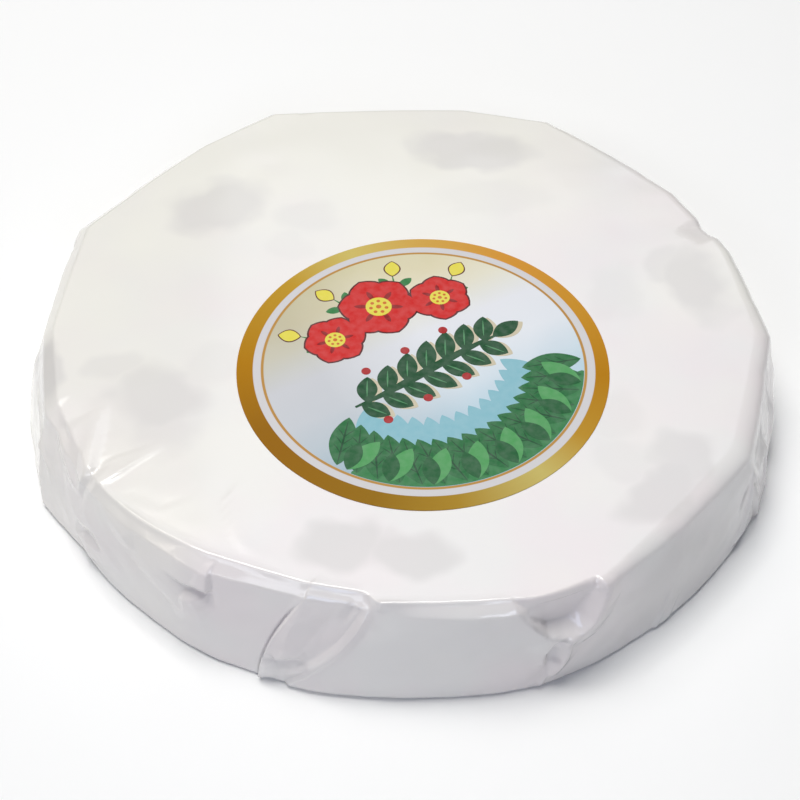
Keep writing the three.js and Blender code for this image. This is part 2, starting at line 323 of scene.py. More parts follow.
# crumples: flat facets between these places
crumpleTable = [
    # the lap's end that stands off the left side, with the hollow under it
    [(-126, -2, 0), (-123.5, -4.2, 0), (-120.9, -4.2, 0), (-119, -3.2, 0), (-117.6, 0, 0),
     (-117.2, 5, 0), (-117.6, 10, 0), (-120, 16, 0), (-124, 19, 0), (-126.5, 12, 0), (-127, 5, 0),
     (-120.3, -2.2, 0.1), (-119.4, -0.3, 0.7), (-119.15, 2.5, 1.2), (-119, 4.6, 1.6),
     (-119.9, -2.4, 0.0), (-119.05, -0.2, -0.1), (-118.75, 2.5, -0.3), (-118.6, 4.8, -0.3),
     (-120.9, 4, 1.3), (-122, 4.9, 0.8), (-118.9, 5.6, -0.7), (-120.8, 5.8, -1.1), (-122.4, 6.5, -0.7),
     (-120, 8.2, 0.9), (-121.2, 9.0, 1.4), (-122.6, 9.6, 1.1), (-119.2, 9.2, 0.1), (-123.7, 10.5, 0.2),
     (-122.6, 14.8, 0.6), (-120.6, 12.5, 0.5), (-121.6, 16, 0.1)],
    # the small dent low on the left
    [(-147, 15, 0), (-142, 12.5, 0), (-139.5, 17, 0), (-140.5, 24, 0), (-144, 26.5, 0), (-147.5, 22, 0),
     (-144.9, 17, -0.9), (-142.4, 15.9, -0.9), (-144.6, 19.3, 0.5), (-142.3, 18.6, 0.4),
     (-143.9, 22.3, 1.0), (-143.3, 24.5, 0.3)],
    # the crushed foot of the front left fold
    [(-109.9, 13.5, 0), (-107, 14.5, 0), (-104, 14.5, 0), (-102.3, 17, 0), (-103, 21.5, 0),
     (-105.5, 25.5, 0), (-108.5, 26.5, 0), (-111, 25.5, 0), (-111, 20, 0), (-109.2, 16.6, 0.3),
     (-108.2, 18, 0.8), (-106.7, 17.4, 0.7), (-105.2, 16.7, 0.5), (-108.3, 18.9, -0.5),
     (-106.6, 18.3, -0.5), (-105.2, 17.6, -0.3), (-103.8, 17.9, -0.2), (-109.4, 21.6, 1.1),
     (-107.5, 22.5, 0.4), (-105, 20.5, 0.5), (-104, 19.6, -0.2)],
    # the front right corner, pushed in under the rim and gathered to one point
    [(-75.2, -3.3, 0), (-72, -3.2, 0), (-70, -3.2, 0), (-68, -3.5, 0), (-65, -4.0, 0), (-62.8, -4.8, 0),
     (-60.8, -4.8, 0), (-59.2, -1, 0), (-58.6, 3.5, 0), (-60.4, 9, 0), (-62.8, 13.5, 0), (-65.4, 18, 0),
     (-67, 23, 0), (-70, 27, 0), (-60.4, 2, 0.5), (-61.4, 5.4, 0.9), (-62.9, 9.2, 1.1),
     (-64.7, 11.8, 1.0), (-73.3, 25, 0), (-73.2, 18, 0), (-73.6, 12, 0), (-75, 6.5, 0),
     # the lip and the dark steep face under it
     (-73.2, -2.5, 0), (-71.8, -2.25, 0), (-70.4, -2.25, 0), (-69, -2.4, 0), (-67.6, -2.6, 0),
     (-66.2, -2.8, 0), (-64.8, -2.95, 0), (-63.5, -3.05, 0), (-62.2, -3, 0), (-72.9, 0.1, -1.3),
     (-70.4, 0.2, -2.0), (-67.6, 0.2, -2.2), (-65, -0.4, -2.0), (-62.6, -1.8, -0.9), (-72.9, 1.9, -1.0),
     (-71.4, 5, -2.0), (-70.1, 7.2, -2.9), (-68.5, 7.5, -3.1), (-66.9, 7.3, -3.0), (-66, 5.3, -2.8),
     (-64.4, 1.9, -2.2), (-62.6, -0.9, -1.1),
     # its raised left edge, and the two bright facets on the right and below
     (-73.6, 2.3, 0.1), (-72, 5.7, 0.3), (-70.7, 8.3, 0.5), (-61.4, 0.9, 0.8), (-62.6, 3.9, 1.3),
     (-63.9, 7.8, 1.6), (-65.6, 9.9, 1.7), (-70.3, 9.1, 0.9), (-69.2, 9.8, 1.5), (-67.9, 10.4, 1.9),
     (-66.7, 10.3, 1.9), (-67.5, 11.4, 1.8), (-66.1, 11.8, 1.2),
     # the fold that hangs from it, with a dark triangle on its left
     (-67.6, 12.4, 1.2), (-67.8, 14, 1.2), (-67.9, 15.6, 1.2), (-68.2, 17.4, 1.1), (-68.6, 19.1, 1.0),
     (-69.4, 21.2, 0.9), (-71.5, 26, 0.6), (-68.4, 11.6, -0.2), (-69.3, 13.2, -1.3),
     (-70.1, 15.4, -1.4), (-70.2, 17.8, -1.1), (-70.6, 21.2, -0.6), (-69, 14.6, -1.2),
     (-69.2, 17.6, -0.9), (-69.6, 12.2, 0.3), (-70.8, 14.9, 0.2), (-71, 18, 0.1), (-66.2, 14.5, 0.1),
     (-66.6, 18, 0.1), (-67.9, 21.6, 0.1)],
    # a pinch at the far right that catches the light
    [(-24, 2, 0), (-19, 2, 0), (-18, 9, 0), (-22, 14, 0), (-25, 9, 0), (-21.6, 5.2, -0.4),
     (-21.8, 8.2, 1.1), (-21.2, 11, 0.2)],
]


def foldPoint(fold, down, inset):
    along = down + fold["bow"] * down * (1 - down)
    angle = np.radians(fold["at"] + fold["lean"] * along)
    radius = fold["rim"] + (fold["foot"] - fold["rim"]) * down - inset
    return np.stack([radius * np.cos(angle), radius * np.sin(angle)], -1)


def stretchPoints(start, end, share, down, inset):
    # the paper between two folds, for all its columns at once: a chord that the cheese pushes out
    a = foldPoint(start, down, inset)
    b = foldPoint(end, down, inset)
    span = np.arccos(np.sum(a * b, -1) / np.linalg.norm(a, axis=-1) / np.linalg.norm(b, axis=-1))
    sag = (1 - np.cos(span / 2)) * meanRadius
    point = a + (b - a) * share[:, None]
    rimBulge = wheel["tightStretches"].get(start["at"], [wheel["rimBulge"]])[0]
    bulge = rimBulge + (wheel["footBulge"] - rimBulge) * down
    radius = np.linalg.norm(point, axis=-1)
    return point * (1 + 4 * share * (1 - share) * sag * bulge / radius)[:, None]


def lapShare(fold, down):
    fade = wheel["lapFade"]
    started = smoothStep(down, fold["from"] - fade, fold["from"] + fade)
    return started * (1 - smoothStep(down, fold["to"] - fade, fold["to"] + fade))


def lapHeight(start, end, share, down, length):
    # a lap lies on the side of its sign, and the paper dives under it on the other
    height = np.zeros_like(share)
    for fold, past in ((start, share), (end, 1 - share)):
        lap = fold["lap"] * (1 if fold is start else -1) * lapShare(fold, down)
        if lap > 0:
            height += lap * np.clip(1 - past / wheel["lapReach"], 0, 1)
        elif lap < 0:
            groove = np.clip((wheel["tuckWidth"] - past * length) / wheel["tuckSlope"], 0, 1)
            height -= fold["tuck"] * lapShare(fold, down) * groove
    return height


def turnedBy(level, drop, degrees):
    cos, sin = math.cos(math.radians(degrees)), math.sin(math.radians(degrees))
    return level * cos + drop * sin, drop * cos - level * sin


def levelOf(angle, at):
    return np.radians(turnedAngle(angle - at)) * meanRadius


def creaseHeight(angle, drop):
    height = np.zeros_like(angle)
    for at, down, turn, length, width, out in creaseTable:
        along, across = turnedBy(levelOf(angle, at), drop - down, turn)
        height += out * np.clip(1 - np.maximum(np.abs(along) / length, np.abs(across) / width), 0, 1)
    return height


def lineHeight(angle, drop, rightWidth, leftWidth, places):
    # the highest of all pieces of the line, each falling off evenly to both sides
    middle = places[len(places) // 2][0]
    level = levelOf(angle, middle)
    best = np.zeros_like(angle)
    sign = 1 if sum(place[2] for place in places) > 0 else -1
    for first, second in zip(places, places[1:]):
        a = np.array([levelOf(first[0], middle), first[1]])
        b = np.array([levelOf(second[0], middle), second[1]])
        run = b - a
        size = np.linalg.norm(run)
        part = np.clip(((level - a[0]) * run[0] + (drop - a[1]) * run[1]) / size ** 2, 0, 1)
        offLevel, offDrop = level - a[0] - part * run[0], drop - a[1] - part * run[1]
        right = run[0] * (drop - a[1]) - run[1] * (level - a[0]) > 0
        width = np.where(right, rightWidth, leftWidth)
        out = first[2] + (second[2] - first[2]) * part
        best = np.maximum(best, sign * out * np.clip(1 - np.hypot(offLevel, offDrop) / width, 0, 1))
    return sign * best


def crumpleHeight(angle, drop, places):
    # the places are joined by triangles, and the paper lies flat across each
    middle = places[0][0]
    corners = [Vector((levelOf(place[0], middle), place[1])) for place in places]
    flat = delaunay_2d_cdt(corners, [], [], 0, 0.001)
    outs = [places[origin[0]][2] for origin in flat[3]]
    level = levelOf(angle, middle)
    height = np.zeros_like(angle)
    for triangle in flat[2]:
        (ax, ay), (bx, by), (cx, cy) = [flat[0][i] for i in triangle]
        area = (bx - ax) * (cy - ay) - (cx - ax) * (by - ay)
        second = ((level - ax) * (cy - ay) - (cx - ax) * (drop - ay)) / area
        third = ((bx - ax) * (drop - ay) - (level - ax) * (by - ay)) / area
        inside = (second >= 0) & (third >= 0) & (second + third <= 1)
        first = 1 - second - third
        out = first * outs[triangle[0]] + second * outs[triangle[1]] + third * outs[triangle[2]]
        height[inside] = out[inside]
    return height


def wrinkle(points, seed, size, count=9):
    # a smooth uneven surface, about -1 to 1, from waves in random directions, size being their length
    draw = np.random.default_rng(seed)
    total = np.zeros(points.shape[:-1])
    for wave in range(count):
        direction = draw.normal(size=3)
        direction *= 2 * math.pi / size / np.linalg.norm(direction) * draw.uniform(0.7, 1.5)
        total += np.sin(points @ direction + draw.uniform(0, 2 * math.pi))
    return total / math.sqrt(count)


def relief(points, drop):
    angle = np.degrees(np.arctan2(points[..., 1], points[..., 0]))
    height = creaseHeight(angle, drop)
    for rightWidth, leftWidth, places in lineTable:
        height += lineHeight(angle, drop, rightWidth, leftWidth, places)
    for places in crumpleTable:
        height += crumpleHeight(angle, drop, places)
    side = smoothStep(drop, *wheel["sideWaves"])
    inner = smoothStep(-drop, *wheel["topWaves"])
    for i, (size, sideHeight, topHeight) in enumerate(wheel["waves"]):
        wave = wrinkle(points, 5 + i, size)
        height += wave * (sideHeight * side + topHeight * (1 - side) * (1 - inner))
    return height


def columnShares():
    # the columns of each stretch: crowded beside the fold lines and even between them
    stretches = []
    for i, start in enumerate(folds):
        end = folds[(i + 1) % len(folds)]
        length = np.linalg.norm(foldPoint(start, 0, 0) - foldPoint(end, 0, 0))
        before = start["edge"] + np.array(wheel["edgeColumns"])
        after = end["edge"] + np.array(wheel["edgeColumns"])
        step = wheel["nearStep"] if start["at"] < wheel["nearEnd"] else wheel["farStep"]
        steps = round((length - before[-1] - after[-1]) / step)
        even = np.linspace(before[-1], length - after[-1], steps + 1)[1:-1]
        places = np.concatenate([before, even, length - after[::-1]])
        stretches.append((start, end, length, places / length))
    return stretches


def wheelRows(start, end, length, share):
    # one stretch from the middle of the underside to the middle of the top, row by row:
    # its places, the way out of the surface there, and the drop of each
    height = wheel["height"]
    band = start["band"] + (end["band"] - start["band"]) * share
    if start["at"] in wheel["tightStretches"]:
        _, shares, widths = wheel["tightStretches"][start["at"]]
        band = np.interp(share, shares, widths)
    sideTop = height - wheel["bandDrop"]
    rows, ways, drops = [], [], []

    def put(plan, level, outAngle, out, drop, hold=1.0):
        outwards = plan / (np.linalg.norm(plan, axis=-1) + 1e-9)[:, None]
        way = np.column_stack([outwards * math.cos(outAngle), np.full(len(share), math.sin(outAngle))])
        place = np.column_stack([plan, np.broadcast_to(level, len(share))])
        rows.append(place + way * np.reshape(out, (-1, 1)))
        ways.append(way * hold)
        drops.append(np.broadcast_to(drop, len(share)))

    # underneath the paper is gathered towards the middle, each fold lying over the next
    under = stretchPoints(start, end, share, 1, wheel["footTurn"])
    sideHeight = sideTop - wheel["footHeight"]
    for part in wheel["underRows"]:
        flat = np.column_stack([under * part, np.zeros(len(share))])
        pleat = wheel["pleat"] * share ** 1.5 + wheel["underWave"] * (1 + wrinkle(flat, 11, 17.0))
        pleat *= smoothStep(part, 0, 0.3) * (1 - smoothStep(part, 0.93, 1))
        put(under * part, pleat, 0, 0, sideHeight, 0)
    for turn, hold in wheel["footRows"]:
        inset = wheel["footTurn"] * (1 - math.sin(math.radians(turn)))
        level = wheel["footHeight"] * (1 - math.cos(math.radians(turn)))
        put(stretchPoints(start, end, share, 1, inset), level, 0, 0, sideHeight, hold)

    for i in range(wheel["sideRows"] + 1):
        down = 1 - i / wheel["sideRows"]
        out = wheel["belly"] * math.sin(math.pi * down) + lapHeight(start, end, share, down, length)
        drop = down * sideHeight
        put(stretchPoints(start, end, share, down, 0), sideTop - drop, 0, out, drop)

    side = stretchPoints(start, end, share, 0, 0)
    fromSoftest = np.arctan2(side[:, 1], side[:, 0]) - math.radians(wheel["softestAngle"])
    soft = smoothStep(np.cos(fromSoftest), *wheel["softRange"])
    edgeLap = lapHeight(start, end, share, 0, length)
    for i in range(1, wheel["bandRows"] + 1):
        part = i / wheel["bandRows"]
        turn = part * math.pi / 2
        inset = (part + (1 - math.cos(turn) - part) * soft) * band
        rise = (part + (math.sin(turn) - part) * soft) * wheel["bandDrop"]
        put(stretchPoints(start, end, share, 0, inset), sideTop + rise, turn, edgeLap * (1 - part), -inset)

    rim = stretchPoints(start, end, share, 0, band)
    rimRadius = np.linalg.norm(rim, axis=-1)
    for part in wheel["topRows"]:
        radius = rimRadius + (wheel["flatRadius"] - rimRadius) * part
        drop = radius - rimRadius - band
        put(rim * (radius / rimRadius)[:, None], height, math.pi / 2, 0, drop, float(part < 1))
    for radius in wheel["plainRadii"]:
        put(rim * (radius / rimRadius)[:, None], height, math.pi / 2, 0, wheel["plainDrop"], 0)
    return np.stack(rows, 1), np.stack(ways, 1), np.stack(drops, 1)


def makePaperWrap():
    # a flat sheet, one step for each row and column, is folded round the cheese
    parts = [wheelRows(*stretch) for stretch in columnShares()]
    points, ways, drops = [np.concatenate(group) for group in zip(*parts)]
    points += ways * relief(points, drops)[..., None]
    points = np.concatenate([points, points[:1]])
    columns, rows = points.shape[:2]
    bpy.ops.object.select_all(action="DESELECT")
    bpy.ops.mesh.primitive_grid_add(x_subdivisions=columns - 1, y_subdivisions=rows - 1, size=2)
    wrap = bpy.context.active_object
    wrap.name = "paperWrap"
    flat = np.empty(len(wrap.data.vertices) * 3)
    wrap.data.vertices.foreach_get("co", flat)
    flat = flat.reshape(-1, 3)
    column = np.rint((flat[:, 0] + 1) / 2 * (columns - 1)).astype(int)
    row = np.rint((flat[:, 1] + 1) / 2 * (rows - 1)).astype(int)
    folded = points[column, row]
    folded[:, :2] += wheel["middle"]
    low, high = [np.array(corner) / mm for corner in cadBox]
    folded[:, :2] = np.clip(folded[:, :2], low[:2] + wheel["margin"], high[:2] - wheel["margin"])
    folded[:, 2] = np.clip(folded[:, 2], 0, high[2] - wheel["margin"])
    wrap.data.vertices.foreach_set("co", (folded * mm).ravel())
    pickOnly(wrap)
    bpy.ops.object.mode_set(mode="EDIT")
    bpy.ops.mesh.select_all(action="SELECT")
    bpy.ops.mesh.remove_doubles(threshold=wheel["mergeGap"] * mm)
    bpy.ops.mesh.normals_make_consistent(inside=False)
    bpy.ops.object.mode_set(mode="OBJECT")
    bpy.ops.object.shade_smooth()
    return wrap


coatedPaper = {
    "white": "#e8e6e5",
    "rosyWhite": "#eae3e4",
    # the lighter cream white: painted light towards the back left, and the tone of the creamy clouds
    "litCreamWhite": "#f0eee6",
    "grey": "#d2cfce",
    "paintedLightSide": (-0.6, 0.8),  # painted light: towards the back left the paper is painted lighter and creamier
    "roughness": 0.42,
    "coat": 1.0,
    "coatRoughness": 0.12,
    "noises": {  # scale per metre, detail
        "cloud": (22.0, 2.0),  # creamy clouds, some 45 mm across
        "blotch": (34.0, 2.0),  # rosy ones, 30 mm
        "ragged": (55.0, 2.0),  # the uneven edge of the patches, 18 mm
        "uneven": (260.0, 3.0),  # the slightly uneven surface, 4 mm
    },
    "raggedReach": 18,  # mm
    "unevenHeight": 0.3,  # mm
    "patchHeight": 12,  # mm up and down
    # grey on the top where the paper has drawn moisture, and darker on the side, where the patch low at the
    # right front is painted shade:
    # x, y, length, width in mm, turn in degrees, strength, and for those on the side the height in mm
    "patches": [
        (-56, 47, 30, 20, 24, 0.5), (-29, 42.8, 17, 14, 0, 0.2), (-33, 30, 14, 12, 0, 0.12),
        (22.4, 74.5, 34, 15, -6, 0.5), (10, 76, 14, 10, 0, 0.3), (26.4, 51.8, 34, 16, 4, 0.16),
        (86, 14.5, 27, 17, 108, 0.55), (77, 21, 14, 10, 130, 0.35), (60.4, 10, 24, 15, 80, 0.2),
        (64, -62, 27, 13, 46, 0.6), (72, -50, 17, 15, 60, 0.5), (57, -50, 16, 14, 0, 0.2),
        (54, -36, 20, 15, 0, 0.22), (-14, -78, 20, 15, 10, 0.7), (3, -81, 22, 14, -6, 0.7),
        (-65, -31, 22, 24, 20, 0.5), (-61, -42, 18, 15, 10, 0.3), (-78, -19, 15, 10, 0, 0.3),
        # the patch at x 71 below is painted shade low on the right front wall
        (-50, -18, 18, 14, 40, 0.15), (71, -75, 40, 18, 45, 0.6, 12), (-97, -18, 26, 9, 100, 0.55, 27),
        (-104, 20, 60, 16, 90, 0.35, 14), (-90, -56, 50, 20, 122, 0.2, 10),
    ],
}


def makePaperMaterial():
    # laminated cheese paper: white and semi-gloss, mottled grey where it clings to the damp rind, with
    # painted shade greying parts of the side and painted light making it lighter and creamier towards the
    # back left
    paper = newMaterial("laminated cheese paper")
    place = addNode(paper, "ShaderNodeTexCoord")
    noises = {}
    for name, (scale, detail) in coatedPaper["noises"].items():
        noises[name] = addNode(paper, "ShaderNodeTexNoise", {"Scale": scale, "Detail": detail},
                               {"Vector": (place, "Object")})

    # the grey patches, damp mottling on the top and darker patches on the side, partly painted shade, each a
    # soft oval whose edge is pushed about
    shift = addNode(paper, "ShaderNodeVectorMath", {1: (0.5, 0.5, 0.5)}, {0: (noises["ragged"], "Color")},
                    operation="SUBTRACT")
    push = addNode(paper, "ShaderNodeVectorMath", {3: coatedPaper["raggedReach"] * mm}, {0: (shift, 0)},
                   operation="SCALE")
    moved = addNode(paper, "ShaderNodeVectorMath", links={0: (place, "Object"), 1: (push, 0)},
                    operation="ADD")
    total = None
    for x, y, length, width, turn, strength, *low in coatedPaper["patches"]:
        level = low[0] if low else wheel["height"]
        own = addNode(paper, "ShaderNodeMapping", {
            "Location": (x * mm, y * mm, level * mm),
            "Rotation": (0, 0, math.radians(turn)),
            "Scale": (length * mm / 2, width * mm / 2, coatedPaper["patchHeight"] * mm),
        }, {"Vector": (moved, 0)}, vector_type="TEXTURE")
        reach = addNode(paper, "ShaderNodeVectorMath", links={0: (own, 0)}, operation="LENGTH")
        patch = addNode(paper, "ShaderNodeMapRange", {1: 1.4, 2: 0.7, 3: 0.0, 4: strength},
                        {0: (reach, "Value")}, interpolation_type="SMOOTHSTEP")
        if total:
            links = {0: (total, 0), 1: (patch, 0)}
            total = addNode(paper, "ShaderNodeMath", links=links, operation="MAXIMUM")
        else:
            total = patch

    # rosy to plain white in blotches, lighter and creamier towards the back left as painted light broken up
    # by creamy clouds, and grey in the patches
    across = addNode(paper, "ShaderNodeVectorMath", {1: (*coatedPaper["paintedLightSide"], 0)},
                     {0: (place, "Object")}, operation="DOT_PRODUCT")
    blend = addNode(paper, "ShaderNodeMath", {1: 3.2}, {0: (across, "Value"), 2: (noises["cloud"], 0)},
                    operation="MULTIPLY_ADD")
    litCream = addNode(paper, "ShaderNodeMapRange", {1: 0.3, 2: 0.8}, {0: (blend, 0)})
    tint = addNode(paper, "ShaderNodeMapRange", {1: 0.38, 2: 0.62}, {0: (noises["blotch"], 0)})
    settings, links = {6: linear(coatedPaper["rosyWhite"])}, {}
    for color, mask in (("white", tint), ("litCreamWhite", litCream), ("grey", total)):
        settings[7] = linear(coatedPaper[color])
        tone = addNode(paper, "ShaderNodeMix", settings, {0: (mask, 0), **links}, data_type="RGBA")
        links = {6: (tone, 2)}

    bump = addNode(paper, "ShaderNodeBump", {"Strength": 0.12, "Distance": coatedPaper["unevenHeight"] * mm},
                   {"Height": (noises["uneven"], 0)})
    surface = addNode(paper, "ShaderNodeBsdfPrincipled", {
        "Roughness": coatedPaper["roughness"],
        "Coat Weight": coatedPaper["coat"],
        "Coat Roughness": coatedPaper["coatRoughness"],
    }, {"Base Color": (tone, 2), "Normal": (bump, 0)})
    addNode(paper, "ShaderNodeOutputMaterial", links={"Surface": (surface, "BSDF")})
    return paper


wrap = makePaperWrap()
wrap.data.materials.append(makePaperMaterial())
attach(wrap, "root")
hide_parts("wrapped_wheel")
print("paper folded round the wheel:", len(wrap.data.polygons), "faces")


# The round label, printed with a border of gold and a bunch of flowers over leaves

label = {
    "center": (6.4, -17.7),  # mm
    "radius": 50.5,
    "bottom": 30.42,
    "top": 30.7,
    "softEdge": 0.06,
    "turn": 30,  # degrees, how far the print is turned
    "goldInside": 46.4,
    "whiteInside": 44.25,
    "lineInside": 43.5,
    "borderBlur": 0.08,
    "ringShift": (0.46, 0.2),  # how far the print sits off the middle of its disc, in its own turned frame
    "lineColor": "#b98c4a",
    "whiteColor": "#d0ced0",
    "goldColors": [  # place round the ring in degrees from the right, colour
        (-140, "#94640a"), (-105, "#946c12"), (-80, "#a88428"), (-52, "#c4b468"), (-32, "#b88c2c"),
        (-5, "#b27a0c"), (25, "#c48c28"), (60, "#d09238"), (92, "#cda34e"), (115, "#cbb866"),
        (140, "#bd942c"), (180, "#ae7808"),
    ],
    "groundColors": [  # height in the print in mm, colour
        (-43, "#9fc9dc"), (-22, "#b4cedc"), (-13, "#ccd9e3"), (-3, "#dce1e8"), (10, "#dfe1e7"),
        (16, "#deded8"), (22, "#dedac6"), (31, "#dad2b4"), (43, "#d2cba6"),
    ],
    "cloudScale": 0.05,  # per mm, so the pale clouds on the ground are 20 mm across
    "cloudColor": "#f4f4f6",
    "cloudStrength": 0.16,
    "shadeColor": "#0c0c10",  # the ground gets darker towards the left
    "shadeFrom": 6,  # mm
    "shadeTo": -26,
    "groundShade": 0.22,
}


def makeLabelMaterial():
    # art paper printed offset under gloss varnish: flat fields of ink, bright and smooth
    paper = newMaterial("varnished offset print")
    place = addNode(paper, "ShaderNodeTexCoord")
    x, y = label["center"]
    own = addNode(paper, "ShaderNodeMapping", {
        "Location": (x * mm, y * mm, 0),
        "Rotation": (0, 0, math.radians(label["turn"])),
        "Scale": (mm, mm, mm),
    }, {"Vector": (place, "Object")}, vector_type="TEXTURE")
    flat = addNode(paper, "ShaderNodeVectorMath", {1: (1, 1, 0)}, {0: (own, 0)}, operation="MULTIPLY")
    shifted = addNode(paper, "ShaderNodeVectorMath", {1: (*label["ringShift"], 0)}, {0: (flat, 0)},
                      operation="SUBTRACT")
    reach = addNode(paper, "ShaderNodeVectorMath", links={0: (shifted, 0)}, operation="LENGTH")
    parts = addNode(paper, "ShaderNodeSeparateXYZ", links={0: (flat, 0)})

    # the gold changes round the ring, and the ground from the bottom to the top of the print
    angle = addNode(paper, "ShaderNodeMath", links={0: (parts, "Y"), 1: (parts, "X")}, operation="ARCTAN2")
    degrees = addNode(paper, "ShaderNodeMath", {1: 180 / math.pi}, {0: (angle, 0)}, operation="MULTIPLY")
    goldStops = sorted((turnedAngle(at - label["turn"]), color) for at, color in label["goldColors"])
    seam = goldStops[0][1]
    goldStops = [(-180, seam)] + goldStops + [(180, seam)]
    ramps = []
    for source, stops in (((degrees, 0), goldStops), ((parts, "Y"), label["groundColors"])):
        low, high = stops[0][0], stops[-1][0]
        share = addNode(paper, "ShaderNodeMapRange", {1: low, 2: high}, {0: source})
        ramp = addNode(paper, "ShaderNodeValToRGB", links={0: (share, 0)})
        while len(ramp.color_ramp.elements) < len(stops):
            ramp.color_ramp.elements.new(0.5)
        for element, (at, color) in zip(ramp.color_ramp.elements, stops):
            element.position = (at - low) / (high - low)
            element.color = linear(color)
        ramps.append(ramp)
    gold, ground = ramps

    cloudy = addNode(paper, "ShaderNodeTexNoise", {"Scale": label["cloudScale"], "Detail": 2.0},
                     {"Vector": (flat, 0)})
    wash = addNode(paper, "ShaderNodeMapRange", {1: 0.3, 2: 0.7, 3: 0.0, 4: label["cloudStrength"]},
                   {0: (cloudy, 0)})
    darker = {1: label["shadeFrom"], 2: label["shadeTo"], 3: 0.0, 4: label["groundShade"]}
    shade = addNode(paper, "ShaderNodeMapRange", darker, {0: (parts, "X")})
    layers = [("cloudColor", wash), ("shadeColor", shade)]
    for border in ("line", "white", "gold"):
        edge = label[border + "Inside"]
        blur = label["borderBlur"]
        past = addNode(paper, "ShaderNodeMapRange", {1: edge - blur, 2: edge + blur}, {0: (reach, "Value")})
        layers.append((border + "Color", past))
    below = (ground, 0)
    for name, mask in layers:
        plain = {7: linear(label[name])} if name in label else {}
        links = {0: (mask, 0), 6: below} if plain else {0: (mask, 0), 6: below, 7: (gold, 0)}
        color = addNode(paper, "ShaderNodeMix", plain, links, data_type="RGBA")
        below = (color, 2)
    surface = addNode(paper, "ShaderNodeBsdfPrincipled", {
        "Roughness": 0.5,
        "Specular IOR Level": 0.08,
        "Coat Weight": 0.05,
        "Coat Roughness": 0.15,
    }, {"Base Color": below})
    addNode(paper, "ShaderNodeOutputMaterial", links={"Surface": (surface, "BSDF")})
    return paper


def makeLabel():
    thickness = label["top"] - label["bottom"]
    x, y = label["center"]
    bpy.ops.object.select_all(action="DESELECT")
    bpy.ops.mesh.primitive_cylinder_add(
        vertices=180, radius=label["radius"] * mm, depth=thickness * mm,
        location=(x * mm, y * mm, (label["top"] - thickness / 2) * mm))
    disc = bpy.context.active_object
    disc.name = "roundLabel"
    bpy.ops.object.transform_apply(location=True)
    edge = disc.modifiers.new("softEdge", "BEVEL")
    edge.width = label["softEdge"] * mm
    edge.segments = 2
    edge.limit_method = "ANGLE"
    bpy.ops.object.modifier_apply(modifier=edge.name)
    disc.data.materials.append(makeLabelMaterial())
    return disc


def petalOutline(place, direction, length, width, roundness=0.62, points=18):
    # a petal or leaf that starts at place: roundness says how far out it is widest
    along = np.concatenate([np.linspace(0, 1, points), np.linspace(1, 0, points)[1:-1]])
    side = np.concatenate([np.ones(points), -np.ones(points - 2)])
    power = math.log(0.5) / math.log(roundness)
    half = width / 2 * np.sin(math.pi * np.clip(along, 0, 1) ** power) ** 0.8
    turn = math.radians(direction)
    across = half * side
    return np.column_stack([
        place[0] + along * length * math.cos(turn) - across * math.sin(turn),
        place[1] + along * length * math.sin(turn) + across * math.cos(turn)])


def discOutline(place, radius, points=20):
    turn = np.linspace(0, 2 * math.pi, points, endpoint=False)
    return np.column_stack([place[0] + radius * np.cos(turn), place[1] + radius * np.sin(turn)])


def strokeOutline(path, width):
    # a drawn line through the points of path, thin at both ends
    path = np.array(path, float)
    run = np.gradient(path, axis=0)
    run /= np.linalg.norm(run, axis=1)[:, None]
    half = width / 2 * (0.25 + 0.75 * np.sin(np.linspace(0, math.pi, len(path))))
    side = np.column_stack([-run[:, 1], run[:, 0]]) * half[:, None]
    return np.concatenate([path + side, (path - side)[::-1]])


inks = {
    "layerStep": 0.012,  # mm, each layer lies this much over the one before
    "hair": 0.002,  # mm between the shapes of one layer
    "hairs": 6,
    "foot": 0.03,  # mm, how deep the inks reach into the label
    "grainScale": 450.0,  # per metre, a grain of 2 mm, coarser than real so that it shows
    "grainStrength": 0.22,
    "grainLight": 0.22,  # how far the light grains go towards white
    "colors": {  # layer, colour
        "garlandGround": (1, "#2e7a44"),
        "paleLeaves": (2, "#86b9c6"),
        "broadLeaves": (3, "#1f6a38"),
        "leafVeins": (4, "#0d4526"),
        "lightLeaves": (5, "#4d9a58"),
        "darkLeaves": (6, "#125a2d"),
        "sprigShadow": (3, "#c9bfa6"),
        "darkSprig": (4, "#0c4a26"),
        "sprigStem": (5, "#0c4a26"),
        "sprigBerries": (6, "#a81c1e"),
        "sprigVeins": (6, "#4f8c5e"),
        "blossomLeaves": (1, "#2c7a3e"),
        "blossomOutlines": (2, "#561416"),
        "redPetals": (3, "#cb1c18"),
        "petalShades": (4, "#8e0f12"),
        "yellowHearts": (5, "#e0d44a"),
        "orangeStamens": (6, "#c86a1c"),
    },
}


def makeInkMaterial(name, hexColor):
    # offset ink under gloss varnish: an even colour, a little uneven where the ink takes on the paper
    ink = newMaterial("offset ink " + name)
    place = addNode(ink, "ShaderNodeTexCoord")
    grain = addNode(ink, "ShaderNodeTexNoise", {"Scale": inks["grainScale"], "Detail": 3.0},
                    {"Vector": (place, "Object")})
    uneven = addNode(ink, "ShaderNodeMapRange", {1: 0.3, 2: 0.7, 3: 0.0, 4: inks["grainStrength"]},
                     {0: (grain, 0)})
    color = linear(hexColor)
    light = [c + (1 - c) * inks["grainLight"] for c in color[:3]] + [1]
    tone = addNode(ink, "ShaderNodeMix", {6: color, 7: light}, {0: (uneven, 0)}, data_type="RGBA")
    surface = addNode(ink, "ShaderNodeBsdfPrincipled", {
        "Roughness": 0.5,
        "Specular IOR Level": 0.2,
        "Coat Weight": 0.1,
        "Coat Roughness": 0.15,
    }, {"Base Color": (tone, 2)})
    addNode(ink, "ShaderNodeOutputMaterial", links={"Surface": (surface, "BSDF")})
    return ink


